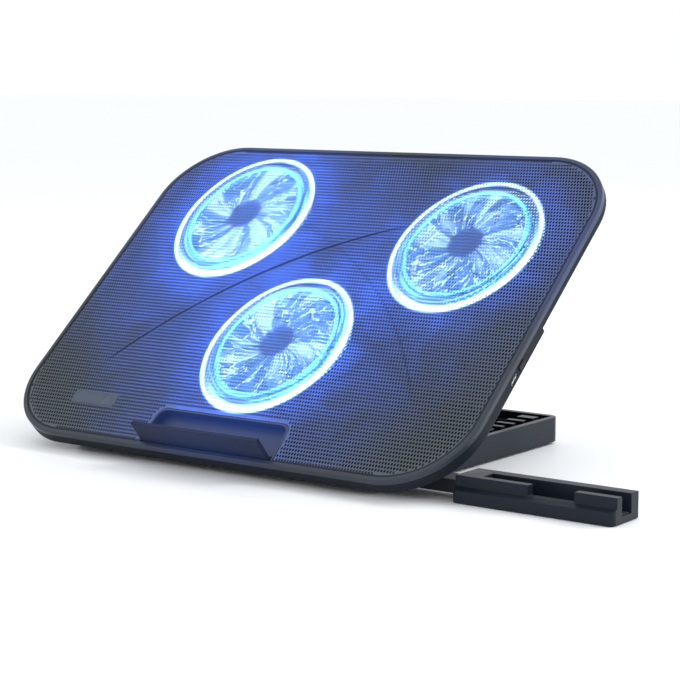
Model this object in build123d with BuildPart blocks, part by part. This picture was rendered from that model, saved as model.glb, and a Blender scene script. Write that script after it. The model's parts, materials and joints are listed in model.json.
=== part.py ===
from build123d import *

# Laptop cooling pad: a tilting pad with a perforated metal top and three lit fans, on a flat base
# with a phone holder that slides out of the base's right side. Millimetres, +Z up.
# The origin is the middle of the whole object's footprint, on the table.
import os
from math import cos, radians, sin

os.makedirs("parts", exist_ok=True)

# ---------------------------------------------------------------- driving dimensions
pad_width = 400.0
pad_depth = 304.0
pad_corner_radius = 58.0
pad_tilt = 40.8  # degrees above the table, the steepest setting
shell_depth = 12.4  # top face to underside
edge_depth = 8.2  # height of the thin rear part of the side wall
thick_wall_end = 148.0  # how far back the full-height side wall reaches

rim_width = 3.6
rim_round = 1.2
bezel_height = 4.0
wall = 2.0
floor_thickness = 1.6
mesh_top = -0.4
mesh_thickness = 0.6

base_width = 280.0
base_top = 20.0
foot_height = 2.0
cover_thickness = 1.6
front_edge_height = 13.2  # height of the pad's front top edge above the table
hinge_depth = 16.6  # hinge axis below the pad's top face
strut_length = 98.6  # equal to the distance from the hinge to the strut's pivot

holder_left = 188.0  # from the pad's middle plane
holder_right = 305.0
holder_travel = 108.0
holder_top = 17.4

stop_v = 7.2  # pivot of the laptop stop, behind the pad's front edge
stop_height = -3.2  # and below its top face
stop_half_width = 56.0
stop_length = 21.0
stop_thickness = 3.2
stop_edge_round = 0.6
stop_barrel = 2.0
stop_angle = 88.0  # raised position, from lying flat
stop_pin_radius = 0.8

edge_ease = 0.5  # rounding of the holder's and the base's upper edges
fold_gap = 0.4  # pad underside to base top, folded flat
slip = 0.3  # gap between parts that move past each other
pin_play = 0.05  # radial play of a pin in its running bore

# ---------------------------------------------------------------- frames of reference
tilt_cos = cos(radians(pad_tilt))
tilt_sin = sin(radians(pad_tilt))

# the object is centred on its footprint, which the holder widens to the right, the base to the
# back and the raised laptop stop to the front
mid_x = (pad_width / 2 - holder_right) / 2
base_back_reach = 246.0  # pad front edge to the back of the base
stop_tip = stop_length - stop_edge_round
stop_face = stop_thickness - stop_edge_round
stop_cos = cos(radians(stop_angle))
stop_sin = sin(radians(stop_angle))
stop_tip_v = stop_v + stop_tip * stop_cos - stop_face * stop_sin
stop_tip_height = stop_height + stop_tip * stop_sin + stop_face * stop_cos
stop_reach = stop_tip_height * tilt_sin - stop_tip_v * tilt_cos + stop_edge_round
front_y = -(base_back_reach - stop_reach) / 2

PAD = Plane(
    origin=(mid_x, front_y, front_edge_height),
    x_dir=(1, 0, 0),
    z_dir=(0, -tilt_sin, tilt_cos),
)
PAD_UP = Axis(PAD.origin, PAD.z_dir)

# hinge between base and pad, in pad coordinates and then in the world
hinge_z = base_top + fold_gap + shell_depth - hinge_depth
hinge_v = (hinge_z - front_edge_height + hinge_depth * tilt_cos) / tilt_sin
hinge_y = front_y + hinge_v * tilt_cos + hinge_depth * tilt_sin
strut_v = hinge_v + strut_length

# fans: name, then middle across the pad and from its front edge
FANS = [("left", -101.0, 228.0), ("front", 4.0, 105.0), ("right", 110.0, 212.0)]


def on_pad(u, v, height):
    """Plane parallel to the pad's top face, with its origin at (u, v) and that height."""
    origin = PAD.from_local_coords(Vector(u, v, height))
    return Plane(origin=origin, x_dir=PAD.x_dir, z_dir=PAD.z_dir)


def across_pad(u, v, height, angle=0.0):
    """Side-view plane: its X runs up the pad, turned by angle towards the pad's normal,
    its Y is square to that on the upper side, and it faces along +X."""
    along = PAD.y_dir * cos(radians(angle)) + PAD.z_dir * sin(radians(angle))
    origin = PAD.from_local_coords(Vector(u, v, height))
    return Plane(origin=origin, x_dir=along, z_dir=PAD.x_dir)


def at_height(z):
    """Level plane over the pad's middle and front edge."""
    return Plane(origin=(mid_x, front_y, z), x_dir=(1, 0, 0), z_dir=(0, 0, 1))


def side_view(x, y=0.0, z=0.0):
    """Upright plane facing +X, with Y to its right and Z up, from the front edge."""
    return Plane(origin=(mid_x + x, front_y + y, z), x_dir=(0, 1, 0), z_dir=(1, 0, 0))


def pad_outline(inset):
    """Rounded rectangle of the pad, drawn inset from its edge."""
    with Locations((0, pad_depth / 2)):
        RectangleRounded(
            pad_width - 2 * inset, pad_depth - 2 * inset, pad_corner_radius - inset
        )


def front_strip(inset, end):
    """The pad outline as far back as end."""
    pad_outline(inset)
    with Locations((0, end / 2)):
        Rectangle(pad_width + 20, end, mode=Mode.INTERSECT)


def save(part, name):
    part.label = name
    export_step(part, f"parts/{name}.step")


# ---------------------------------------------------------------- laptop stop and its recess
recess_front = 3.6
recess_back = 34.0
recess_half_front = 59.0
recess_half_back = 57.0
recess_corner = 7.0
recess_floor = -6.4
recess_wall = 1.5


def recess_outline(grow, mode=Mode.ADD):
    """Recess for the folded stop: straight at the front, rounded at the back."""
    with BuildLine() as outline:
        FilletPolyline(
            (-recess_half_front - grow, recess_front - grow),
            (-recess_half_back - grow, recess_back + grow),
            (recess_half_back + grow, recess_back + grow),
            (recess_half_front + grow, recess_front - grow),
            radius=recess_corner,
        )
        Line(
            (recess_half_front + grow, recess_front - grow),
            (-recess_half_front - grow, recess_front - grow),
        )
    make_face(outline.edges(), mode=mode)


# ---------------------------------------------------------------- pad: upper bezel
ledge_inset = 8.5
mesh_seat = mesh_top - mesh_thickness
boss_radius = 3.4
screw_radius = 1.1
head_radius = 2.5
head_height = 1.6
key_radius = 1.3  # hexagon for the key, to its corners
PAD_SCREWS = [
    (-190, 72),
    (190, 72),
    (-190, 238),
    (190, 238),
    (-110, 10.5),
    (110, 10.5),
    (-30, 293.5),
    (30, 293.5),
]

with BuildPart() as top_bezel:
    with BuildSketch(PAD.offset(-bezel_height)):
        pad_outline(0)
    extrude(amount=bezel_height)
    fillet(top_bezel.faces().sort_by(PAD_UP)[-1].outer_wire().edges(), rim_round)
    with BuildSketch(PAD.offset(mesh_seat)):
        pad_outline(rim_width)
    extrude(amount=-mesh_seat, mode=Mode.SUBTRACT)
    with BuildSketch(PAD.offset(-bezel_height)):
        pad_outline(ledge_inset)
    extrude(amount=bezel_height, mode=Mode.SUBTRACT)
    with BuildSketch(PAD.offset(-bezel_height)):
        with Locations(*PAD_SCREWS):
            Circle(boss_radius)
    extrude(amount=bezel_height + mesh_seat)
    # tray that the stop folds into
    with BuildSketch(PAD.offset(recess_floor - recess_wall)):
        recess_outline(recess_wall)
    extrude(amount=recess_wall - recess_floor + mesh_top + 0.2)
    with BuildSketch(PAD.offset(recess_floor)):
        recess_outline(0)
    extrude(amount=-recess_floor, mode=Mode.SUBTRACT)
    # holes for the stop's pin in the tray's two sides
    with BuildSketch(across_pad(0, stop_v, stop_height)):
        Circle(stop_pin_radius)
    extrude(amount=recess_half_front + 2 * recess_wall, both=True, mode=Mode.SUBTRACT)
    with BuildSketch(PAD.offset(-bezel_height)):
        with Locations(*PAD_SCREWS):
            Circle(screw_radius)
    extrude(amount=bezel_height + mesh_seat - 0.6, mode=Mode.SUBTRACT)
save(top_bezel.part, "top_bezel")

# ---------------------------------------------------------------- pad: perforated top sheet
mesh_gap = 0.5

with BuildPart() as mesh_panel:
    with BuildSketch(PAD.offset(mesh_seat)):
        pad_outline(rim_width + mesh_gap)
        recess_outline(recess_wall + mesh_gap, mode=Mode.SUBTRACT)
    extrude(amount=mesh_thickness)
save(mesh_panel.part, "mesh_panel")

# plain badge plate lying on the sheet
with BuildPart() as badge_plate:
    with BuildSketch(on_pad(-123.5, 35.5, mesh_top)):
        RectangleRounded(42, 11, 1.5)
    extrude(amount=-mesh_top)
save(badge_plate.part, "badge_plate")

# ---------------------------------------------------------------- pad: bottom shell
belly_top_inset = 2.5
belly_inset = 7.0
cavity_floor = floor_thickness - shell_depth
edge_floor = floor_thickness - edge_depth
belly_cavity_inset = belly_inset + 2.5
underside_round = 1.5

grille_radius = 48.0
grille_hub = 17.0
grille_bar = 2.2
grille_slot = 4.0
grille_spokes = 6

hinge_x = 55.0
knuckle_width = 24.0
knuckle_radius = 4.2
hinge_pin_radius = 2.0
strut_middle = 102.0  # middle of each strut arm, from the pad's middle plane
strut_arm_width = 12.0
strut_radius = 3.4
lug_width = 7.6
strut_pin_radius = 1.5

socket_v = 101.5
socket_height = -8.2
socket_width = 9.0
socket_thickness = 3.2
button_v = 114.0
button_height = -7.2
button_width = 8.0
button_thickness = 3.6
button_travel = 0.6
port_gap = 0.2


def lug(u, v, width, hole_radius):
    """Rounded lug under the shell, centred on u, with a cross hole on the hinge line."""
    with BuildSketch(across_pad(u - width / 2, v, -hinge_depth)) as profile:
        Circle(knuckle_radius)
        drop = hinge_depth - shell_depth
        with Locations((0, (drop + 0.4) / 2)):
            Rectangle(2 * knuckle_radius, drop + 0.4)
        Circle(hole_radius, mode=Mode.SUBTRACT)
    extrude(profile.sketch, amount=width)


def grille_slots(u, v):
    """Ring-shaped slots between spokes, under a fan."""
    with BuildSketch(on_pad(u, v, -shell_depth)) as slots:
        inner = grille_hub
        while inner + grille_slot <= grille_radius:
            Circle(inner + grille_slot)
            Circle(inner, mode=Mode.SUBTRACT)
            inner += grille_slot + grille_bar
        with PolarLocations(0, grille_spokes):
            Rectangle(2 * pad_width / 3, grille_bar, mode=Mode.SUBTRACT)
    extrude(slots.sketch, amount=floor_thickness, mode=Mode.SUBTRACT)


with BuildPart() as bottom_shell:
    with BuildSketch(PAD.offset(-edge_depth)):
        pad_outline(0)
    extrude(amount=edge_depth - bezel_height)
    with BuildSketch(PAD.offset(-shell_depth)):
        front_strip(0, thick_wall_end)
    extrude(amount=shell_depth - edge_depth)
    fillet(
        bottom_shell.faces().sort_by(PAD_UP)[0].outer_wire().edges(), underside_round
    )
    with BuildSketch(PAD.offset(-shell_depth)):
        pad_outline(belly_inset)
    with BuildSketch(PAD.offset(-edge_depth)):
        pad_outline(belly_top_inset)
    loft()
    # hollow inside, in three steps that follow the outside
    with BuildSketch(PAD.offset(cavity_floor)):
        pad_outline(belly_cavity_inset)
    extrude(amount=shell_depth, mode=Mode.SUBTRACT)
    with BuildSketch(PAD.offset(edge_floor)):
        pad_outline(wall)
    extrude(amount=shell_depth, mode=Mode.SUBTRACT)
    with BuildSketch(PAD.offset(cavity_floor)):
        front_strip(wall, thick_wall_end - wall)
    extrude(amount=shell_depth, mode=Mode.SUBTRACT)
    for name, u, v in FANS:
        grille_slots(u, v)
    # screw posts, with a counterbore in the underside
    with BuildSketch(PAD.offset(-shell_depth)):
        with Locations(*PAD_SCREWS):
            Circle(boss_radius)
    extrude(amount=shell_depth - bezel_height)
    with BuildSketch(PAD.offset(-shell_depth)):
        with Locations(*PAD_SCREWS):
            Circle(head_radius + 0.1)
    extrude(amount=head_height, mode=Mode.SUBTRACT)
    with BuildSketch(PAD.offset(-shell_depth)):
        with Locations(*PAD_SCREWS):
            Circle(screw_radius)
    extrude(amount=shell_depth, mode=Mode.SUBTRACT)
    # hinge knuckles near the front edge, and two pairs of lugs for the strut
    for side in (-1, 1):
        lug(side * hinge_x, hinge_v, knuckle_width, hinge_pin_radius + pin_play)
        for edge in (-1, 1):
            reach = edge * ((strut_arm_width + lug_width) / 2 + slip)
            lug(side * strut_middle + reach, strut_v, lug_width, strut_pin_radius)
    # openings in the right side wall for the power socket and the button
    with BuildSketch(across_pad(pad_width / 2 - 2 * wall, socket_v, socket_height)):
        RectangleRounded(socket_width + 2 * port_gap, socket_thickness + 2 * port_gap, 1.7)
    extrude(amount=3 * wall, mode=Mode.SUBTRACT)
    with BuildSketch(across_pad(pad_width / 2 - 2 * wall, button_v, button_height)):
        RectangleRounded(button_width + 2 * port_gap, button_thickness + 2 * port_gap, 1.0)
    extrude(amount=3 * wall, mode=Mode.SUBTRACT)
save(bottom_shell.part, "bottom_shell")

with BuildPart() as pad_screws:
    with BuildSketch(PAD.offset(-shell_depth)):
        with Locations(*PAD_SCREWS):
            Circle(head_radius)
    extrude(amount=head_height)
    with BuildSketch(PAD.offset(-shell_depth)):
        with Locations(*PAD_SCREWS):
            RegularPolygon(key_radius, 6)
    extrude(amount=head_height / 2, mode=Mode.SUBTRACT)
    with BuildSketch(PAD.offset(head_height - shell_depth)):
        with Locations(*PAD_SCREWS):
            Circle(screw_radius)
    extrude(amount=shell_depth - head_height + mesh_seat - 1.0)
save(pad_screws.part, "pad_screws")

# ---------------------------------------------------------------- fans
duct_radius = 49.5
duct_wall = 1.5
fan_radius = 60.0
fan_wall = 1.3
fan_bottom = 0.1 + cavity_floor
frame_web = 1.4
board_seat = -4.8
board_thickness = 1.0
ring_seat = board_seat + board_thickness
ring_top = -1.7
glow_radii = [(53.8, 58.2), (49.8, 52.2)]  # the two raised lines of the light ring
ring_base = 1.0
ring_bore_gap = 0.3
fit_gap = 0.1  # between parts that are pushed together
led_count = 12
led_circle = 56.0
led_size = 2.8
led_height = 0.8
motor_plate = 1.1
motor_radius = 17.0
strut_count = 4

hub_radius = 16.0
hub_top = -2.2
hub_skirt = 1.5
hub_roof = 1.2
blade_tip = 48.3
blade_count = 9
blade_chord = 15.0
blade_thickness = 1.2
blade_pitch_root = 30.0
blade_pitch_tip = 20.0
magnet_thickness = 1.2
shaft_radius = 1.5
bush_wall = 1.5
pole_count = 6
pole_radius = 12.4
pole_shoe = 1.4
pole_gap = 1.6
pole_width = 2.6
core_radius = 5.2
core_height = 2.6
winding_length = 3.6
winding_width = 4.4
winding_height = 4.4

hub_bottom = fan_bottom + motor_plate + 0.4
stator_bottom = fan_bottom + motor_plate


def fan_frame(u, v):
    """Double-walled duct with a web that carries the lights, and arms to the motor plate."""
    with BuildPart() as frame:
        with BuildSketch(on_pad(u, v, fan_bottom)):
            Circle(fan_radius)
            Circle(fan_radius - fan_wall, mode=Mode.SUBTRACT)
        extrude(amount=ring_top - fan_bottom)
        with BuildSketch(on_pad(u, v, fan_bottom)):
            Circle(duct_radius + duct_wall)
            Circle(duct_radius, mode=Mode.SUBTRACT)
        extrude(amount=board_seat - fan_bottom)
        with BuildSketch(on_pad(u, v, board_seat)):
            Circle(fan_radius - fan_wall / 2)
            Circle(duct_radius, mode=Mode.SUBTRACT)
        extrude(amount=-frame_web)
        with BuildSketch(on_pad(u, v, fan_bottom)):
            Circle(motor_radius)
            with PolarLocations(0, strut_count, start_angle=45):
                Rectangle(2 * duct_radius + duct_wall, 4)
        extrude(amount=motor_plate)
    return frame.part


def led_board(u, v):
    """Ring-shaped circuit board with raised light-emitting diodes."""
    with BuildPart() as board:
        with BuildSketch(on_pad(u, v, board_seat)):
            Circle(fan_radius - fan_wall - fit_gap)
            Circle(duct_radius + ring_bore_gap, mode=Mode.SUBTRACT)
        extrude(amount=board_thickness)
        with BuildSketch(on_pad(u, v, ring_seat)):
            with PolarLocations(led_circle, led_count):
                Rectangle(led_size, led_size)
        extrude(amount=led_height)
    return board.part


def light_ring(u, v):
    """Translucent ring over the board, with a wide outer and a narrow inner raised line,
    hollowed underneath for each light-emitting diode."""
    with BuildPart() as ring:
        with BuildSketch(on_pad(u, v, ring_seat)):
            Circle(fan_radius - fan_wall - fit_gap)
            Circle(duct_radius + ring_bore_gap, mode=Mode.SUBTRACT)
        extrude(amount=ring_base)
        for inner, outer in glow_radii:
            with BuildSketch(on_pad(u, v, ring_seat)):
                Circle(outer)
                Circle(inner, mode=Mode.SUBTRACT)
            extrude(amount=ring_top - ring_seat)
        with BuildSketch(on_pad(u, v, ring_seat)):
            with PolarLocations(led_circle, led_count):
                Rectangle(led_size + 2 * fit_gap, led_size + 2 * fit_gap)
        extrude(amount=led_height + fit_gap, mode=Mode.SUBTRACT)
    return ring.part


def motor_stator(u, v):
    """Six-pole iron core on the motor plate, with a winding round each pole."""
    with BuildPart() as stator:
        with BuildSketch(on_pad(u, v, stator_bottom + (winding_height - core_height) / 2)):
            Circle(pole_radius)
            Circle(pole_radius - pole_shoe, mode=Mode.SUBTRACT)
            with PolarLocations(pole_radius, pole_count, start_angle=180 / pole_count):
                Rectangle(3 * pole_shoe, pole_gap, mode=Mode.SUBTRACT)
            with PolarLocations(pole_radius / 2, pole_count):
                Rectangle(pole_radius - pole_shoe, pole_width)
            Circle(core_radius)
            Circle(shaft_radius + bush_wall, mode=Mode.SUBTRACT)
        extrude(amount=core_height)
        with BuildSketch(on_pad(u, v, stator_bottom)):
            with PolarLocations((core_radius + pole_radius) / 2, pole_count):
                Rectangle(winding_length, winding_width)
        extrude(amount=winding_height)
    return stator.part


def shaft_bush(u, v):
    """Sintered sleeve that the rotor's shaft runs in."""
    with BuildPart() as bush:
        with BuildSketch(on_pad(u, v, stator_bottom)):
            Circle(shaft_radius + bush_wall)
            Circle(shaft_radius + pin_play, mode=Mode.SUBTRACT)
        extrude(amount=5.2)
    return bush.part


def blade_section(u, v, radius, pitch):
    """Plane square to a blade's length at the given radius."""
    plane = on_pad(u, v, (hub_top + hub_bottom) / 2)
    across = plane.x_dir
    along = plane.y_dir
    lean = along * cos(radians(pitch)) + plane.z_dir * sin(radians(pitch))
    return Plane(origin=plane.origin + across * radius, x_dir=lean, z_dir=across)


def fan_blade(u, v):
    """One blade, wider at the tip, flatter pitched towards it."""
    with BuildPart() as blade:
        with BuildSketch(blade_section(u, v, hub_radius - 1.0, blade_pitch_root)):
            Rectangle(blade_chord * 0.62, blade_thickness)
        with BuildSketch(blade_section(u, v, blade_tip, blade_pitch_tip)):
            Rectangle(blade_chord, blade_thickness)
        loft()
    return blade.part


def rotor(u, v):
    """Hub cup with its ring of blades."""
    blade = fan_blade(u, v)
    middle = on_pad(u, v, 0)
    spin = Axis(middle.origin, middle.z_dir)
    with BuildPart() as wheel:
        with BuildSketch(on_pad(u, v, hub_bottom)):
            Circle(hub_radius)
        extrude(amount=hub_top - hub_bottom)
        fillet(wheel.faces().sort_by(PAD_UP)[-1].edges(), 0.8)
        for index in range(blade_count):
            add(blade.rotate(spin, index * 360 / blade_count))
        with BuildSketch(on_pad(u, v, hub_bottom)):
            Circle(hub_radius - hub_skirt)
        extrude(amount=hub_top - hub_bottom - hub_roof, mode=Mode.SUBTRACT)
    return wheel.part


def rotor_magnet(u, v):
    """Ring magnet inside the hub's skirt."""
    with BuildPart() as magnet:
        with BuildSketch(on_pad(u, v, hub_bottom + 0.4)):
            Circle(hub_radius - hub_skirt)
            Circle(hub_radius - hub_skirt - magnet_thickness, mode=Mode.SUBTRACT)
        extrude(amount=4.6)
    return magnet.part


def rotor_shaft(u, v):
    """Steel shaft fixed under the hub's roof."""
    with BuildPart() as shaft:
        with BuildSketch(on_pad(u, v, stator_bottom + 0.2)):
            Circle(shaft_radius)
        extrude(amount=hub_top - hub_roof - stator_bottom - 0.2)
    return shaft.part


for name, u, v in FANS:
    save(fan_frame(u, v), f"fan_frame_{name}")
    save(led_board(u, v), f"led_board_{name}")
    save(light_ring(u, v), f"light_ring_{name}")
    save(motor_stator(u, v), f"motor_stator_{name}")
    save(shaft_bush(u, v), f"shaft_bush_{name}")
    save(rotor(u, v), f"fan_rotor_{name}")
    save(rotor_magnet(u, v), f"rotor_magnet_{name}")
    save(rotor_shaft(u, v), f"rotor_shaft_{name}")

# ---------------------------------------------------------------- laptop stop
with BuildPart() as laptop_stop:
    with BuildSketch(across_pad(-stop_half_width, stop_v, stop_height, stop_angle)):
        with Locations((stop_length / 2, stop_thickness / 2)):
            RectangleRounded(stop_length, stop_thickness, stop_edge_round)
        Circle(stop_barrel)
        Circle(stop_pin_radius + pin_play, mode=Mode.SUBTRACT)
    extrude(amount=2 * stop_half_width)
save(laptop_stop.part, "laptop_stop")

with BuildPart() as stop_pin:
    with BuildSketch(across_pad(0, stop_v, stop_height)):
        Circle(stop_pin_radius)
    extrude(amount=recess_half_front + recess_wall / 2, both=True)
save(stop_pin.part, "stop_pin")

# ---------------------------------------------------------------- control board, socket, button
board_left = 158.0
board_right = 196.0
board_length = 44.0
socket_depth = 8.0
control_thickness = 1.0
flange_grow = 0.8
flange_thickness = 1.2
board_top = cavity_floor + control_thickness
connector_u = 168.0
connector_v = 100.0
connector_size = 6.0
connector_pitch = 12.0
connector_height = 1.4
socket_face = pad_width / 2 - 0.4
button_face = pad_width / 2 + button_travel + 0.3
flange_face = pad_width / 2 - wall - 0.1

with BuildPart() as control_board:
    with BuildSketch(on_pad((board_left + board_right) / 2, connector_v, cavity_floor)):
        Rectangle(board_right - board_left, board_length)
    extrude(amount=control_thickness)
    with BuildSketch(on_pad(connector_u, connector_v, board_top)):
        with GridLocations(0, connector_pitch, 1, 3):
            Rectangle(connector_size, connector_size)
    extrude(amount=connector_height)
save(control_board.part, "control_board")

with BuildPart() as power_socket:
    with BuildSketch(across_pad(socket_face - socket_depth, socket_v, socket_height)):
        RectangleRounded(socket_width, socket_thickness, 1.55)
    extrude(amount=socket_depth)
    with BuildSketch(across_pad(socket_face, socket_v, socket_height)):
        RectangleRounded(socket_width - 0.7, socket_thickness - 0.7, 1.2)
        Rectangle(socket_width - 2.4, 0.7, mode=Mode.SUBTRACT)
    extrude(amount=-6.5, mode=Mode.SUBTRACT)
save(power_socket.part, "power_socket")

with BuildPart() as light_button:
    with BuildSketch(across_pad(flange_face, button_v, button_height)):
        RectangleRounded(button_width, button_thickness, 0.8)
    extrude(amount=button_face - flange_face)
    fillet(light_button.faces().sort_by(Axis.X)[-1].edges(), 0.4)
    with BuildSketch(across_pad(flange_face - flange_thickness, button_v, button_height)):
        Rectangle(button_width + 2 * flange_grow, button_thickness + flange_grow)
    extrude(amount=flange_thickness)
save(light_button.part, "light_button")

with BuildPart() as button_switch:
    with BuildSketch(on_pad(191.5, button_v, board_top)):
        Rectangle(6, 6)
    extrude(amount=3.4)
    switch_face = flange_face - flange_thickness - button_travel - 0.2
    with BuildSketch(across_pad(190, button_v, button_height)):
        Circle(1.2)
    extrude(amount=switch_face - 190)
save(button_switch.part, "button_switch")

# fan leads, from each fan's wall to its connector on the control board
lead_radius = connector_height / 2
lead_bend = 9.0


def fan_edge(index, angle):
    """Point on a fan's outer wall, at that angle from the pad's width direction."""
    name, u, v = FANS[index]
    return (u + fan_radius * cos(radians(angle)), v + fan_radius * sin(radians(angle)))


connector_left = connector_u - connector_size / 2
top_v, middle_v, bottom_v = (connector_v + step * connector_pitch for step in (1, 0, -1))
LEADS = [
    [fan_edge(0, -45), (-40, 174), (4, 176), (57, 158.5), (100, 118), (140, middle_v)],
    [fan_edge(1, 0), (105, 105), (140, bottom_v)],
    [fan_edge(2, -70), (140, 130), (150, top_v)],
]
LEAD_ENDS = [middle_v, bottom_v, top_v]

with BuildPart() as fan_leads:
    for route, end_v in zip(LEADS, LEAD_ENDS):
        with BuildLine(PAD.offset(board_top + lead_radius)) as path:
            FilletPolyline(*route, (connector_left, end_v), radius=lead_bend)
        with BuildSketch(Plane(origin=path.line @ 0, z_dir=path.line % 0)):
            Circle(lead_radius)
        sweep(path=path.line)
save(fan_leads.part, "fan_leads")

# ---------------------------------------------------------------- support strut
strut_angle = -2 * pad_tilt
foot_half_width = 105.0
strut_plate = 3.0
plate_start = 0.5

with BuildPart() as support_strut:
    for side in (-1, 1):
        start = side * strut_middle - strut_arm_width / 2
        with BuildSketch(across_pad(start, strut_v, -hinge_depth, strut_angle)):
            with Locations((strut_length / 2, 0)):
                SlotCenterToCenter(strut_length, 2 * strut_radius)
        extrude(amount=strut_arm_width)
    with BuildSketch(across_pad(-foot_half_width, strut_v, -hinge_depth, strut_angle)):
        with Locations((strut_length, 0)):
            Circle(strut_radius)
    extrude(amount=2 * foot_half_width)
    with BuildSketch(across_pad(-strut_middle, strut_v, -hinge_depth, strut_angle)):
        with Locations((strut_length * (1 + plate_start) / 2, 0)):
            Rectangle(strut_length * (1 - plate_start), strut_plate)
    extrude(amount=2 * strut_middle)
    with BuildSketch(across_pad(0, strut_v, -hinge_depth)):
        Circle(strut_pin_radius + pin_play)
    extrude(amount=strut_middle + strut_arm_width, both=True, mode=Mode.SUBTRACT)
save(support_strut.part, "support_strut")

with BuildPart() as strut_pins:
    reach = strut_arm_width / 2 + slip + lug_width
    for side in (-1, 1):
        with BuildSketch(across_pad(side * strut_middle - reach, strut_v, -hinge_depth)):
            Circle(strut_pin_radius)
        extrude(amount=2 * reach)
save(strut_pins.part, "strut_pins")

# ---------------------------------------------------------------- base
base_front = hinge_y - front_y - 8.0  # from the pad's front edge
base_back = base_back_reach
base_corner = 10.0
cover_top = foot_height + cover_thickness
front_rail_back = 63.0
side_rail = 12.0
rail_step_width = 6.5
rail_step_depth = 6.0
chamfer_drop = 7.0
ear_width = 8.0
knuckle_gap = 0.5

bay_left = holder_left - holder_travel - 1.0
channel_reach = 90.0
arm_front = 36.0
arm_back = 54.0
arm_bottom = 4.0
arm_top = 13.0
bay_gap = 0.5

rack_inner = 98.0
rack_step = 114.0
rack_outer = base_width / 2 - side_rail
rack_front = 160.0
rack_floor = 3.0
rib_pitch = 14.3
rib_thickness = 4.5
rib_count = 5
rib_back = 228.3
rib_top = base_top - 0.4
foot_rest = hinge_z - strut_radius - fold_gap

foot_radius = 7.0
BASE_FEET = [(-66, 33), (66, 33), (-126, 232), (126, 232), (-126, 120), (126, 120)]
BASE_SCREWS = [(-134, 80), (134, 80), (-134, 200), (134, 200), (-100, 45), (0, 240)]

holder_front = 26.0
holder_back = 58.5
holder_bottom = 0.6
ledge_back = 31.0
ledge_top = 8.4
ledge_rise = 2.0  # the ledge climbs towards the lips
slot_front = 37.5
slot_back = 49.0
slot_floor = 5.0
slot_left = 205.0
lip_gap_left = 242.0
lip_gap_right = 275.0
arm_left = 20.0


def base_outline():
    """Footprint of the base, in the level plane over the pad's front edge."""
    with Locations((0, (base_front + base_back) / 2)):
        RectangleRounded(base_width, base_back - base_front, base_corner)


def box_between(x_range, y_range):
    """Rectangle between two pairs of limits."""
    x_low, x_high = x_range
    y_low, y_high = y_range
    with Locations(((x_low + x_high) / 2, (y_low + y_high) / 2)):
        Rectangle(x_high - x_low, y_high - y_low)


def cut_box(x_range, y_range, z_range):
    """Cuts a box between three pairs of limits from the part being built."""
    with BuildSketch(at_height(z_range[0])) as footprint:
        box_between(x_range, y_range)
    extrude(footprint.sketch, amount=z_range[1] - z_range[0], mode=Mode.SUBTRACT)


with BuildPart() as base_frame:
    with BuildSketch(at_height(cover_top)):
        base_outline()
    extrude(amount=base_top - cover_top)
    # sloping front edge
    with BuildSketch(side_view(-base_width / 2 - 1)):
        with BuildLine():
            Polyline(
                (base_front - 1, base_top - chamfer_drop - 1),
                (base_front - 1, base_top + 1),
                (base_front + chamfer_drop + 1, base_top + 1),
                close=True,
            )
        make_face()
    extrude(amount=base_width + 2, mode=Mode.SUBTRACT)
    inner = base_width / 2 - side_rail
    cut_box((-inner, inner), (front_rail_back, base_back - side_rail), (0, base_top + 1))
    # the rails are full height only along their outer edge
    inner += rail_step_width
    cut_box(
        (-inner, inner),
        (front_rail_back, base_back - side_rail + rail_step_width),
        (base_top - rail_step_depth, base_top + 1),
    )
    # notches for the pad's knuckles, leaving an ear each side for the pin
    for side in (-1, 1):
        half = knuckle_width / 2 + slip
        cut_box(
            (side * hinge_x - half, side * hinge_x + half),
            (base_front - 1, hinge_y - front_y + knuckle_radius + knuckle_gap),
            (hinge_z - knuckle_radius - knuckle_gap, base_top + 1),
        )
        reach = knuckle_width / 2 + slip + ear_width
        with BuildSketch(
            side_view(side * hinge_x - reach, hinge_y - front_y, hinge_z)
        ):
            Circle(hinge_pin_radius)
        extrude(amount=2 * reach, mode=Mode.SUBTRACT)
    # bay for the stowed phone holder, open below and to the right, stepped as it is
    right_end = base_width / 2 + 1
    cut_box(
        (bay_left, right_end),
        (holder_front - bay_gap, ledge_back),
        (0, ledge_top + ledge_rise + bay_gap),
    )
    cut_box(
        (bay_left, right_end),
        (ledge_back - bay_gap, holder_back + bay_gap),
        (0, holder_top + bay_gap),
    )
    # closed channel for the holder's arm
    cut_box(
        (-channel_reach, bay_left + 1),
        (arm_front - slip, arm_back + slip),
        (0, arm_top + slip),
    )
    with BuildSketch(at_height(cover_top)):
        with Locations(*BASE_SCREWS):
            Circle(screw_radius)
    extrude(amount=8, mode=Mode.SUBTRACT)
    top_edges = base_frame.edges().filter_by_position(Axis.Z, base_top - 0.1, base_top + 0.1)
    fillet(top_edges, edge_ease)
save(base_frame.part, "base_frame")

vent_length = 46.0
vent_width = 5.0

with BuildPart() as base_cover:
    with BuildSketch(at_height(foot_height)):
        base_outline()
        with Locations((0, 112)):
            with GridLocations(58, 11, 3, 7):
                SlotOverall(vent_length, vent_width, mode=Mode.SUBTRACT)
        with Locations(*BASE_SCREWS):
            Circle(screw_radius, mode=Mode.SUBTRACT)
    extrude(amount=cover_thickness)
    cut_box(
        (bay_left, base_width / 2 + 1),
        (holder_front - bay_gap, holder_back + bay_gap),
        (0, base_top),
    )
save(base_cover.part, "base_cover")

with BuildPart() as base_feet:
    with BuildSketch(at_height(0)):
        with Locations(*BASE_FEET):
            Circle(foot_radius)
    extrude(amount=foot_height)
save(base_feet.part, "base_feet")

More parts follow.
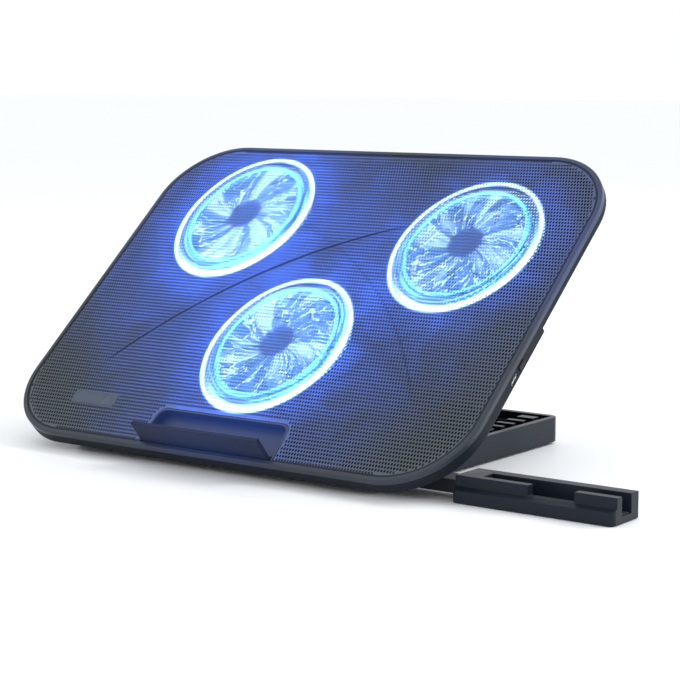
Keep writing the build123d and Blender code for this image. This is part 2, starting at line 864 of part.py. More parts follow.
screw_head = 1.0
with BuildPart() as base_screws:
    with BuildSketch(at_height(foot_height - screw_head)):
        with Locations(*BASE_SCREWS):
            Circle(head_radius)
    extrude(amount=screw_head)
    with BuildSketch(at_height(foot_height - screw_head)):
        with Locations(*BASE_SCREWS):
            RegularPolygon(key_radius, 6)
    extrude(amount=screw_head / 2, mode=Mode.SUBTRACT)
    with BuildSketch(at_height(foot_height)):
        with Locations(*BASE_SCREWS):
            Circle(screw_radius)
    extrude(amount=cover_thickness + 7)
save(base_screws.part, "base_screws")

with BuildPart() as hinge_pins:
    reach = knuckle_width / 2 + slip + ear_width
    for side in (-1, 1):
        with BuildSketch(
            side_view(side * hinge_x - reach, hinge_y - front_y, hinge_z)
        ):
            Circle(hinge_pin_radius)
        extrude(amount=2 * reach)
save(hinge_pins.part, "hinge_pins")


def notch_rack(side):
    """Stepped rack: tall ribs beside the side rail, low teeth under the strut's foot."""
    inner_x, step_x, outer_x = (side * x for x in (rack_inner, rack_step, rack_outer))
    whole = sorted((inner_x, outer_x))
    tall = sorted((step_x, outer_x))
    with BuildPart() as rack:
        with BuildSketch(at_height(cover_top)):
            box_between(whole, (rack_front, base_back - side_rail))
        extrude(amount=rack_floor)
        for index in range(rib_count):
            middle = rib_back - index * rib_pitch
            behind = middle + rib_thickness / 2 if index else base_back - side_rail
            span = (middle - rib_thickness / 2, behind)
            with BuildSketch(at_height(cover_top)):
                box_between(whole, span)
            extrude(amount=foot_rest - cover_top)
            with BuildSketch(at_height(cover_top)):
                box_between(tall, span)
            extrude(amount=rib_top - cover_top)
    return rack.part


save(notch_rack(-1), "notch_rack_left")
save(notch_rack(1), "notch_rack_right")

# ---------------------------------------------------------------- phone holder
with BuildPart() as phone_holder:
    with BuildSketch(side_view(holder_left)):
        with BuildLine():
            Polyline(
                (holder_front, holder_bottom),
                (holder_back, holder_bottom),
                (holder_back, holder_top),
                (slot_back, holder_top),
                (slot_back, slot_floor),
                (slot_front, slot_floor),
                (slot_front, holder_top),
                (ledge_back, holder_top),
                (ledge_back, ledge_top + ledge_rise),
                (holder_front, ledge_top),
                close=True,
            )
        make_face()
    extrude(amount=holder_right - holder_left)
    with BuildSketch(at_height(holder_bottom)):
        box_between((holder_left, slot_left), (ledge_back, holder_back))
    extrude(amount=holder_top - holder_bottom)
    corners = phone_holder.edges().filter_by(Axis.Z).group_by(Axis.Y)[0]
    fillet(corners, 4.0)
    gap_floor = ledge_top + ledge_rise
    cut_box(
        (lip_gap_left, lip_gap_right), (ledge_back - 1, slot_front + 1), (gap_floor, 30)
    )
    upper_edges = phone_holder.edges().filter_by_position(Axis.Z, ledge_top - 0.1, 30)
    fillet(upper_edges, edge_ease)
save(phone_holder.part, "phone_holder")

with BuildPart() as slide_arm:
    with BuildSketch(at_height(arm_bottom)):
        box_between((arm_left, holder_left), (arm_front, arm_back))
    extrude(amount=arm_top - arm_bottom)
save(slide_arm.part, "slide_arm")

liner_thickness = 0.8
with BuildPart() as slot_liner:
    with BuildSketch(at_height(slot_floor)):
        box_between((slot_left + 1, holder_right - 1), (slot_front + 0.4, slot_back - 0.4))
    extrude(amount=liner_thickness)
save(slot_liner.part, "slot_liner")

with BuildPart() as holder_feet:
    with BuildSketch(at_height(0)):
        with Locations((holder_left + 12, 44), (holder_right - 14, 44)):
            Circle(5)
    extrude(amount=holder_bottom)
save(holder_feet.part, "holder_feet")
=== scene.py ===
import json
from math import cos, hypot, pi, radians, sin

import bpy
from mathutils import Matrix, Vector
from mathutils.geometry import delaunay_2d_cdt


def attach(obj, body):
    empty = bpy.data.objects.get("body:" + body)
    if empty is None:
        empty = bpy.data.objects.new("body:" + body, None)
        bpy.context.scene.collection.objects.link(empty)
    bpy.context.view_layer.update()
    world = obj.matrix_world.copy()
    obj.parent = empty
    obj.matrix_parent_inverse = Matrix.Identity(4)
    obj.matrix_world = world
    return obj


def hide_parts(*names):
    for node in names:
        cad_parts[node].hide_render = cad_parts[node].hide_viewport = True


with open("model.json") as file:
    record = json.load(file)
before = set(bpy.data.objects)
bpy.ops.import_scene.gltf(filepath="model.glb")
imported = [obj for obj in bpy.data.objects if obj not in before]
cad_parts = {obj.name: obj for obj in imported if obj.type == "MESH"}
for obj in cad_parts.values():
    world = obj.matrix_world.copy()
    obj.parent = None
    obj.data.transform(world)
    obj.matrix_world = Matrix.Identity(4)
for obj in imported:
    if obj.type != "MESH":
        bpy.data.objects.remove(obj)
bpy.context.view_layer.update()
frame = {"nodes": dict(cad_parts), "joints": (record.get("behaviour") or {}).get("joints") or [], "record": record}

nodes = frame["nodes"]
joints = {joint["name"]: joint for joint in frame["joints"]}
mounts = {mount["name"]: mount for mount in frame["record"]["mounts"]}
MM = 0.001
FANS = ("left", "front", "right")

# ------------------------------------------------------------------ the pad's own frame
# X across the pad from its middle, Y from its front edge to its back, Z out of its top face
deck = mounts["laptop_deck"]
deck_from_front = 200 * MM
deck_below_rim = 0.4 * MM
pad_normal = Vector(deck["axis"]).normalized()
pad_across = Vector((1, 0, 0))
pad_back = pad_normal.cross(pad_across)
pad_origin = Vector(deck["pos_m"]) - pad_back * deck_from_front + pad_normal * deck_below_rim
PAD = Matrix.Translation(pad_origin) @ Matrix((pad_across, pad_back, pad_normal)).transposed().to_4x4()
TO_PAD = PAD.inverted()


def pad_box(node):
    """Lowest and highest corner of a CAD node in the pad's own frame."""
    points = [TO_PAD @ vertex.co for vertex in nodes[node].data.vertices]
    low = Vector([min(point[axis] for point in points) for axis in range(3)])
    high = Vector([max(point[axis] for point in points) for axis in range(3)])
    return low, high


def fan_middle(name):
    """Middle of a fan in the pad's own frame, on its spin axis."""
    return TO_PAD @ Vector(joints["fan_spin_" + name]["pos_m"])


# ------------------------------------------------------------------ camera, light and floor
def set_camera():
    """Camera low in front of the pad's right side, aimed near the middle of the pad."""
    azimuth, elevation = radians(36.65), radians(7.85)
    distance, lens = 1.45, 104.4
    aim_from_origin = Vector((0.0094, 0.1478, 0.0635))
    aim = pad_origin + aim_from_origin
    back = Vector((sin(azimuth) * cos(elevation), -cos(azimuth) * cos(elevation), sin(elevation)))
    data = bpy.data.cameras.new("camera")
    data.lens = lens
    data.sensor_width = 36
    data.clip_end = 50
    camera = bpy.data.objects.new("camera", data)
    bpy.context.scene.collection.objects.link(camera)
    camera.location = aim + back * distance
    camera.rotation_euler = back.to_track_quat("Z", "Y").to_euler()
    bpy.context.scene.camera = camera


light_aim = Vector((0, 0, 0.08))


def area_light(name, place, size, power, colour):
    """Square soft light that points near the object's middle."""
    data = bpy.data.lights.new(name, "AREA")
    data.size = size
    data.energy = power
    data.color = colour
    light = bpy.data.objects.new(name, data)
    bpy.context.scene.collection.objects.link(light)
    light.location = place
    light.rotation_euler = (Vector(place) - light_aim).to_track_quat("Z", "Y").to_euler()


def set_studio():
    """Pale floor under a soft white sky, with large soft lights."""
    world = bpy.data.worlds.new("studio")
    world.use_nodes = True
    sky = world.node_tree.nodes["Background"]
    sky.inputs["Color"].default_value = (0.96, 0.98, 1.0, 1)
    sky.inputs["Strength"].default_value = 1.045
    bpy.context.scene.world = world
    area_light("fill_light", (-0.9, -1.1, 1.9), 1.2, 1.0, (1.0, 0.99, 0.97))
    area_light("key_light", (1.4, 1.3, 1.4), 1.3, 28, (0.96, 0.98, 1.0))
    bpy.context.scene.view_settings.view_transform = "Standard"

    data = bpy.data.meshes.new("floor")
    reach = 14.0
    corners = [(-reach, -reach, 0), (reach, -reach, 0), (reach, reach, 0), (-reach, reach, 0)]
    data.from_pydata(corners, [], [(0, 1, 2, 3)])
    floor = bpy.data.objects.new("floor", data)
    bpy.context.scene.collection.objects.link(floor)
    data.materials.append(floor_paint())


# ------------------------------------------------------------------ material helpers
class Shader:
    """A node material in the making: a principled shader and short calls for what feeds it."""

    def __init__(self, name):
        self.material = bpy.data.materials.new(name)
        self.material.use_nodes = True
        self.tree = self.material.node_tree
        self.surface = self.tree.nodes["Principled BSDF"]
        self.place = self.node("ShaderNodeTexCoord").outputs["Object"]

    def node(self, kind, **settings):
        made = self.tree.nodes.new(kind)
        for key, value in settings.items():
            setattr(made, key, value)
        return made

    def link(self, source, target):
        """Feeds a socket from another node, or sets its value."""
        if isinstance(source, bpy.types.NodeSocket):
            self.tree.links.new(source, target)
        else:
            target.default_value = source

    def set(self, **values):
        """Sets or links inputs of the principled shader, named with _ for a space."""
        for key, value in values.items():
            self.link(value, self.surface.inputs[key.replace("_", " ")])

    def noise(self, scale, detail=3.0, distortion=0.0, stretch=None):
        """Noise of the given scale in features per metre, from 0 to 1."""
        made = self.node("ShaderNodeTexNoise")
        made.inputs["Scale"].default_value = scale
        made.inputs["Detail"].default_value = detail
        made.inputs["Distortion"].default_value = distortion
        place = self.place
        if stretch:
            mapping = self.node("ShaderNodeMapping")
            mapping.inputs["Scale"].default_value = stretch
            self.link(place, mapping.inputs["Vector"])
            place = mapping.outputs["Vector"]
        self.link(place, made.inputs["Vector"])
        return made.outputs["Fac"]

    def ramp(self, value, low, high, from_low=0.0, from_high=1.0, smooth=False):
        """Maps a value from one range onto another, held at the ends."""
        made = self.node("ShaderNodeMapRange")
        if smooth:
            made.interpolation_type = "SMOOTHSTEP"
        settings = (value, from_low, from_high, low, high)
        for key, setting in zip(("Value", "From Min", "From Max", "To Min", "To Max"), settings):
            self.link(setting, made.inputs[key])
        return made.outputs["Result"]

    def maths(self, operation, first, second=0.0, third=0.0):
        made = self.node("ShaderNodeMath", operation=operation)
        for index, value in enumerate((first, second, third)):
            self.link(value, made.inputs[index])
        return made.outputs["Value"]

    def mix(self, factor, first, second):
        """Mix of two colours."""
        made = self.node("ShaderNodeMix", data_type="RGBA")
        for index, value in ((0, factor), (6, first), (7, second)):
            if isinstance(value, tuple):
                value = (*value, 1.0)
            self.link(value, made.inputs[index])
        return made.outputs[2]

    def bump(self, height, strength, distance):
        made = self.node("ShaderNodeBump")
        made.inputs["Strength"].default_value = strength
        made.inputs["Distance"].default_value = distance
        self.link(height, made.inputs["Height"])
        return made.outputs["Normal"]

    def split(self, middle=(0.0, 0.0)):
        """Offsets from a point, along the frame's X and Y."""
        parts = self.node("ShaderNodeSeparateXYZ")
        self.link(self.place, parts.inputs[0])
        return [self.maths("SUBTRACT", parts.outputs[axis], middle[axis]) for axis in (0, 1)]

    def radius(self, middle, shift=(0.0, 0.0), stretch=1.0):
        """Distance from an axis along Z, shifted and stretched along Y."""
        across, along = self.split((middle[0] + shift[0], middle[1] + shift[1]))
        along = self.maths("DIVIDE", along, stretch)
        squares = [self.maths("MULTIPLY", side, side) for side in (across, along)]
        return self.maths("SQRT", self.maths("ADD", *squares))

    def facing(self):
        """1 on faces that look out along the frame's Z, 0 on the rest."""
        parts = self.node("ShaderNodeSeparateXYZ")
        self.link(self.node("ShaderNodeTexCoord").outputs["Normal"], parts.inputs[0])
        return self.ramp(parts.outputs[2], 0.0, 1.0, 0.6, 0.85)

    def outline(self, middle, half_width, half_depth, corner):
        """Distance from a rounded rectangle's corner centres, equal to the corner radius on its edge."""
        squares = 0.0
        for offset, half in zip(self.split(middle), (half_width, half_depth)):
            over = self.maths("SUBTRACT", self.maths("ABSOLUTE", offset), half - corner)
            over = self.maths("MAXIMUM", over, 0.0)
            squares = self.maths("MULTIPLY_ADD", over, over, squares)
        return self.maths("SQRT", squares)

    def away(self, point):
        """Distance from a point."""
        made = self.node("ShaderNodeVectorMath", operation="DISTANCE")
        self.link(self.place, made.inputs[0])
        made.inputs[1].default_value = point
        return made.outputs["Value"]

    def swirl(self, middle, radius, twist, spokes, rings, seed):
        """Noise drawn out along spokes that curl round a middle."""
        across, along = self.split(middle)
        angle = self.maths("ARCTAN2", along, across)
        angle = self.maths("MULTIPLY_ADD", radius, twist, angle)
        join = self.node("ShaderNodeCombineXYZ")
        self.link(self.maths("MULTIPLY", self.maths("COSINE", angle), spokes), join.inputs[0])
        self.link(self.maths("MULTIPLY", self.maths("SINE", angle), spokes), join.inputs[1])
        self.link(self.maths("MULTIPLY_ADD", radius, rings, seed), join.inputs[2])
        made = self.node("ShaderNodeTexNoise")
        made.inputs["Scale"].default_value = 1.0
        made.inputs["Detail"].default_value = 4.0
        made.inputs["Distortion"].default_value = 0.6
        self.link(join.outputs[0], made.inputs["Vector"])
        return made.outputs["Fac"]


def shade(colour, factor):
    return tuple(channel * factor for channel in colour)


def floor_paint():
    """Pale studio floor with the faintest variation."""
    paint = Shader("floor_paint")
    paint.set(
        Base_Color=paint.mix(paint.noise(3.0), (0.94, 0.95, 0.96), (0.96, 0.97, 0.98)),
        Roughness=paint.ramp(paint.noise(40.0), 0.42, 0.6),
    )
    return paint.material


def moulded(name, colour, roughness, grain=900.0, depth=0.00003, gloss=0.12, variation=0.22, lit=0.0):
    """Moulded plastic: fine grain and faint flow marks; lit adds painted blue light near the fans."""
    paint = Shader(name)
    flow = paint.noise(14.0, 4.0, 0.6)
    specks = paint.noise(grain, 2.0)
    tone = paint.maths("MULTIPLY_ADD", specks, 0.5, paint.maths("MULTIPLY", flow, 0.5))
    paint.set(
        Base_Color=paint.mix(tone, shade(colour, 1 - variation), shade(colour, 1 + variation)),
        Roughness=paint.ramp(flow, roughness - 0.07, roughness + 0.09, 0.3, 0.7),
        Specular_IOR_Level=gloss,
        Normal=paint.bump(specks, 0.35, depth),
    )
    if lit:
        spill = 0.0
        for fan in FANS:
            distance = paint.away(joints["fan_spin_" + fan]["pos_m"])
            near = paint.ramp(distance, 1.0, 0.0, 60 * MM, 135 * MM, True)
            spill = paint.maths("MULTIPLY_ADD", near, lit, spill)
        paint.set(Emission_Color=paint.mix(specks, LIGHT_BLUE, LIGHT_SPILL), Emission_Strength=spill)
    return paint.material


def metal(name, colour, roughness, grain=700.0, stretch=(1, 1, 1), depth=0.00002):
    """Turned or blackened metal with fine lines and uneven polish."""
    paint = Shader(name)
    lines = paint.noise(grain, 3.0, 0.0, stretch)
    cloud = paint.noise(60.0, 3.0)
    paint.set(
        Base_Color=paint.mix(lines, shade(colour, 0.8), shade(colour, 1.1)),
        Metallic=1.0,
        Roughness=paint.ramp(cloud, roughness - 0.08, roughness + 0.12, 0.3, 0.7),
        Normal=paint.bump(lines, 0.3, depth),
    )
    return paint.material


def rubber_paint(name, colour):
    """Matt rubber with a fine pebble."""
    paint = Shader(name)
    pebble = paint.noise(1400.0, 2.0)
    dust = paint.noise(35.0, 5.0)
    paint.set(
        Base_Color=paint.mix(paint.ramp(dust, 0.0, 1.0, 0.45, 0.8), colour, shade(colour, 2.2)),
        Roughness=paint.ramp(dust, 0.72, 0.92),
        Normal=paint.bump(pebble, 0.5, 0.00005),
    )
    return paint.material


def board_paint():
    """Nearly black solder mask, with a web of raised lines in place of tracks."""
    paint = Shader("board_paint")
    tracks = paint.node("ShaderNodeTexVoronoi", feature="DISTANCE_TO_EDGE")
    tracks.inputs["Scale"].default_value = 260.0
    paint.link(paint.place, tracks.inputs["Vector"])
    line = paint.ramp(tracks.outputs["Distance"], 1.0, 0.0, 0.02, 0.06)
    paint.set(
        Base_Color=paint.mix(line, (0.008, 0.012, 0.022), (0.02, 0.03, 0.055)),
        Roughness=paint.ramp(paint.noise(80.0), 0.25, 0.45),
        Normal=paint.bump(line, 0.4, 0.00006),
    )
    return paint.material


# the fans' light is painted as emission, in metres from each fan's axis; the glare on the sheet
# is drawn a little longer along the pad than across it, and its dark middle sits off centre
glare_stretch = 1.13
glare_shift = (0.0, -1.0 * MM)
middle_shift = (-1.6 * MM, 2.2 * MM)
inner_line = (43.6 * MM, 46.6 * MM)
outer_line = (54.3 * MM, 57.4 * MM)
thick_line_inside = 51.6 * MM  # how far in the outer line reaches on its thick side
line_blur = 1.5 * MM
inner_blur = 1.3 * MM
hub_shade = 12.8 * MM
window_blur = 2.6 * MM
glow_reach = 34 * MM
wash_reach = 120 * MM
HALO = {"left": 0.62, "front": 0.55, "right": 0.4}
WASH = {"left": 0.46, "front": 0.32, "right": 0.14}
LIGHT_WHITE = (0.62, 0.97, 1.0)
LIGHT_CYAN = (0.2, 0.76, 1.0)
LIGHT_BLUE = (0.035, 0.15, 0.95)
LIGHT_SPILL = (0.06, 0.18, 0.9)
STREAK_DEEP = (0.09, 0.3, 0.9)
STREAK_PALE = (0.55, 0.88, 0.98)


def band(paint, radius, low, high, soft):
    """1 between two radii, with soft edges."""
    rise = paint.ramp(radius, 0.0, 1.0, low - soft, low + soft, True)
    fall = paint.ramp(radius, 1.0, 0.0, high - soft, high + soft, True)
    return paint.maths("MULTIPLY", rise, fall)


def streaks_at(paint, middle, radius, seed):
    """Pale streaks and fine threads of light that run out from a fan's hub."""
    broad = paint.swirl(middle, radius, 9.0, 2.6, 14.0, seed)
    fine = paint.swirl(middle, radius, 14.0, 4.2, 42.0, seed + 7.0)
    thread = paint.ramp(paint.maths("ABSOLUTE", paint.maths("SUBTRACT", fine, 0.5)), 1.1, 0.0, 0.0, 0.024)
    soft = paint.ramp(broad, 0.0, 0.7, 0.46, 0.68, True)
    return paint.maths("MAXIMUM", soft, thread)


# painted shade along the sheet's outer edge, where the gap round the sheet falls dark: dark at the edge, faded out
# by the first width below
seam_shade_width = 1.5 * MM
seam_shade_full = 0.9 * MM
# half width and blur of the painted shade along the pressed creases
crease_shade_half_width = 0.95 * MM
crease_shade_blur = 0.4 * MM


def sheet_paint():
    """Dark grey coated sheet metal, with the fans' light painted on it and painted shade in the seam, the creases
    and the walls of the holes.
    """
    paint = Shader("sheet_paint")
    coat = paint.noise(1500.0, 2.0)
    cloud = paint.noise(12.0, 4.0, 0.4)
    patches = paint.noise(30.0, 3.0, 1.2)
    face = paint.facing()
    white = cyan = blue = inside = pale = 0.0
    for index, name in enumerate(FANS):
        middle = fan_middle(name)
        radius = paint.radius(middle, glare_shift, glare_stretch)
        inner = paint.radius(middle, middle_shift, glare_stretch)
        rim = band(paint, radius, *outer_line, line_blur)
        line = band(paint, inner, *inner_line, inner_blur)
        arcs = paint.swirl(middle, inner, 4.0, 1.0, 330.0, 3.0 * index)
        across, along = paint.split(middle)
        nearer = paint.maths("MULTIPLY_ADD", across, 0.6, paint.maths("MULTIPLY", along, -0.8))
        nearer = paint.ramp(nearer, -0.1, 0.55, -20 * MM, 50 * MM, True)
        thick = band(paint, radius, thick_line_inside, outer_line[1], line_blur)
        thick = paint.maths("MULTIPLY", thick, nearer)
        rim = paint.maths("MAXIMUM", rim, paint.maths("MULTIPLY", thick, 1.7))
        between = paint.maths(
            "MULTIPLY",
            paint.ramp(inner, 0.0, 1.0, inner_line[0] - line_blur, inner_line[0] + line_blur, True),
            paint.ramp(radius, 1.0, 0.0, outer_line[0] - line_blur, outer_line[1], True),
        )
        arc = paint.ramp(arcs, 0.0, 0.75, 0.46, 0.64, True)
        arc = paint.maths("MULTIPLY_ADD", nearer, paint.ramp(arcs, 0.1, 0.75, 0.3, 0.6), arc)
        between = paint.maths("MULTIPLY", between, arc)
        window = band(paint, inner, hub_shade, inner_line[0], window_blur)
        streak = streaks_at(paint, middle, inner, 5.0 * index)
        halo = paint.ramp(radius, 1.0, 0.0, outer_line[1], outer_line[1] + glow_reach, True)
        wash = paint.ramp(radius, 1.0, 0.0, outer_line[1], outer_line[1] + wash_reach, True)
        spread = paint.maths("MULTIPLY_ADD", halo, HALO[name], paint.maths("MULTIPLY", wash, WASH[name]))
        spread = paint.maths("MULTIPLY", spread, paint.ramp(inner, 0.75, 1.0, hub_shade, outer_line[0]))
        white = paint.maths("MAXIMUM", rim, white)
        cyan = paint.maths("MAXIMUM", paint.maths("MAXIMUM", line, between), cyan)
        pale = paint.maths("MULTIPLY_ADD", window, streak, pale)
        hub = paint.ramp(inner, 0.35, 0.0, hub_shade - 3 * MM, hub_shade + 2 * MM, True)
        inside = paint.maths("ADD", paint.maths("MAXIMUM", window, hub), inside)
        blue = paint.maths("ADD", spread, blue)
    blue = paint.maths("MULTIPLY", blue, paint.ramp(patches, 0.6, 1.4, 0.3, 0.7))
    # the walls of the holes take no blue light
    blue = paint.maths("MULTIPLY", blue, face)
    light = paint.mix(inside, LIGHT_BLUE, STREAK_DEEP)
    light = paint.mix(paint.maths("MINIMUM", pale, 1.0), light, STREAK_PALE)
    light = paint.mix(paint.maths("MINIMUM", cyan, 1.0), light, LIGHT_CYAN)
    light = paint.mix(white, light, LIGHT_WHITE)
    amount = paint.maths("MULTIPLY_ADD", white, 1.6, paint.maths("MULTIPLY", cyan, 1.0))
    amount = paint.maths("MULTIPLY_ADD", inside, 0.42, paint.maths("ADD", amount, blue))
    amount = paint.maths("MULTIPLY_ADD", pale, 0.72, amount)
    # painted shade along the pressed creases, fainter on the mirrored one
    crease_and_seam_shade = 0.0
    for side, shown in ((1, 1.0), (-1, 0.3)):
        away = paint.radius((side * CREASE_MIDDLE[0], CREASE_MIDDLE[1]))
        crease_shade_mark = band(paint, away, crease_radius - crease_shade_half_width, crease_radius + crease_shade_half_width, crease_shade_blur)
        along = paint.split()[1]
        for low, high, near, far in (
            (0.0, shown, crease_front, crease_front + crease_fade),
            (1.0, 0.0, crease_back - crease_fade, crease_back),
        ):
            crease_shade_mark = paint.maths("MULTIPLY", crease_shade_mark, paint.ramp(along, low, high, near, far))
        crease_and_seam_shade = paint.maths("MAXIMUM", crease_shade_mark, crease_and_seam_shade)
    low, high = pad_box("mesh_panel")
    middle, half = (low + high) / 2, (high - low) / 2
    # painted shade along the sheet's outer edge, in the gap round the sheet
    seam_shade = paint.outline(middle, half.x, half.y, outline_corner)
    seam_shade = paint.ramp(seam_shade, 0.0, 0.92, outline_corner - seam_shade_width, outline_corner - seam_shade_full)
    crease_and_seam_shade = paint.maths("MAXIMUM", crease_and_seam_shade, seam_shade)
    bare = paint.ramp(crease_and_seam_shade, 1.0, 0.15)
    tone = paint.mix(cloud, (0.066, 0.08, 0.094), (0.098, 0.115, 0.133))
    # painted shade: the creases, the seam and the walls of the holes are painted dark
    painted_shade = paint.maths("MAXIMUM", crease_and_seam_shade, paint.maths("SUBTRACT", 1.0, face))
    tone = paint.mix(painted_shade, tone, (0.006, 0.007, 0.01))
    paint.set(
        Base_Color=tone,
        Metallic=0.1,
        Specular_IOR_Level=0.22,
        Roughness=paint.ramp(cloud, 0.4, 0.54, 0.3, 0.7),
        Normal=paint.bump(coat, 0.3, 0.00003),
        Emission_Color=light,
        Emission_Strength=paint.maths("MULTIPLY", amount, bare),
    )
    return paint.material


def blade_paint(middle, seed):
    """Solid blue blade with painted light that grows from its root, and bright streaks along it."""
    paint = Shader("blade_paint")
    radius = paint.radius(middle)
    grain = paint.noise(130.0, 4.0, 1.2)
    streak = streaks_at(paint, middle, radius, seed)
    lit = paint.ramp(radius, 0.0, 1.0, 14 * MM, 20 * MM)
    paint.set(
        Base_Color=paint.mix(grain, (0.04, 0.13, 0.42), (0.25, 0.5, 0.85)),
        Roughness=0.22,
        Emission_Color=paint.mix(streak, (0.05, 0.22, 0.95), (0.5, 0.88, 1.0)),
        Emission_Strength=paint.maths("MULTIPLY", lit, paint.ramp(streak, 0.4, 1.5)),
    )
    return paint.material


# ------------------------------------------------------------------ mesh helpers
def piece_from(name, points, faces, place, body, paint, stands_for=(), smooth=30.0):
    """Makes a piece from points in the frame given by place, and rides it on a body."""
    data = bpy.data.meshes.new(name)
    data.from_pydata(points, [], faces)
    data.validate()
    data.update()
    piece = bpy.data.objects.new(name, data)
    bpy.context.scene.collection.objects.link(piece)
    piece.matrix_world = place
    data.materials.append(paint)
    data.shade_smooth()
    data.set_sharp_from_angle(angle=radians(smooth))
    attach(piece, body)
    if stands_for:
        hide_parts(*stands_for)
    return piece


def lathe(profile, middle, turns=128):
    """Points and faces of a closed ring: profile is a loop of (radius, height) about middle."""
    points, faces = [], []
    count = len(profile)
    for turn in range(turns):
        angle = 2 * pi * turn / turns
        for radius, height in profile:
            points.append((middle[0] + radius * cos(angle), middle[1] + radius * sin(angle), height))
    for turn in range(turns):
        here, after = turn * count, (turn + 1) % turns * count
        for step in range(count):
            end = (step + 1) % count
            faces.append((here + step, after + step, after + end, here + end))
    return points, faces


# ------------------------------------------------------------------ perforated sheet
# both pitches are fitted to the sheet's size; every other row is set over by half the hole pitch
hole_pitch = 2.36 * MM
row_pitch = 3.12 * MM
hole_half_width = 0.82 * MM
hole_half_depth = 1.27 * MM
hole_sides = 8
strip_count = 5
outline_corner = 53.9 * MM
corner_steps = 24
border = 0.25 * MM  # plain metal kept round the outermost cells
groove_width = 1.2 * MM
groove_depth = 0.45 * MM


def outline_loop(low, high, corner):
    """Loop of a rounded rectangle, anticlockwise."""
    loop = []
    for centre_x, centre_y, start in (
        (high.x - corner, low.y + corner, -90),
        (high.x - corner, high.y - corner, 0),
        (low.x + corner, high.y - corner, 90),
        (low.x + corner, low.y + corner, 180),
    ):
        for step in range(corner_steps + 1):
            angle = radians(start + 90 * step / corner_steps)
            loop.append((centre_x + corner * cos(angle), centre_y + corner * sin(angle)))
    return loop


def inside_rounded(x, y, low, high, corner, margin):
    """Whether a point is inside a rounded rectangle by at least margin."""
    middle_x, middle_y = (low.x + high.x) / 2, (low.y + high.y) / 2
    over_x = max(abs(x - middle_x) - (high.x - low.x) / 2 + corner, 0.0)
    over_y = max(abs(y - middle_y) - (high.y - low.y) / 2 + corner, 0.0)
    return hypot(over_x, over_y) < corner - margin


# the notch round the tray of the laptop stop
notch_half_front = 61.0 * MM
notch_half_back = 59.0 * MM
notch_back = 36.0 * MM
notch_corner = 7 * MM
notch_steps = 6
# pressed creases: middle of the arc, its radius, and how far back it runs; mirrored as well
CREASE_MIDDLE = (178.5 * MM, -120.9 * MM)
crease_radius = 369.8 * MM
crease_front = 70 * MM
crease_back = 231 * MM
crease_fade = 12 * MM


def notch_loop(front):
    """Points of the notch's edge, from left to right along the sheet's front."""
    centre_x, centre_y = notch_half_back - notch_corner, notch_back - notch_corner
    left, right = [(-notch_half_front, front)], []
    for step in range(notch_steps + 1):
        angle = radians(90 * step / notch_steps)
        left.append((-centre_x - notch_corner * cos(angle), centre_y + notch_corner * sin(angle)))
        right.append((centre_x + notch_corner * sin(angle), centre_y + notch_corner * cos(angle)))
    return left + right + [(notch_half_front, front)]


def in_notch(x, y, grow=0.0):
    """Whether a point is inside the notch's rounded outline, grown by a margin."""
    if y > notch_back + grow:
        return False
    centre_x, centre_y = notch_half_back - notch_corner, notch_back - notch_corner
    if abs(x) > centre_x and y > centre_y:
        return hypot(abs(x) - centre_x, y - centre_y) < notch_corner + grow
    return abs(x) < notch_half_front + (notch_half_back - notch_half_front) * y / notch_back + grow


def crease_at(x, y):
    """How deep the pressed creases are at a point."""
    if not crease_front < y < crease_back:
        return 0.0
    fade = min(1.0, (y - crease_front) / crease_fade, (crease_back - y) / crease_fade)
    depth = 0.0
    for side in (-1, 1):
        away = abs(hypot(x - side * CREASE_MIDDLE[0], y - CREASE_MIDDLE[1]) - crease_radius)
        if away < groove_width:
            depth = max(depth, groove_depth * (1 + cos(pi * away / groove_width)) / 2)
    return depth * fade


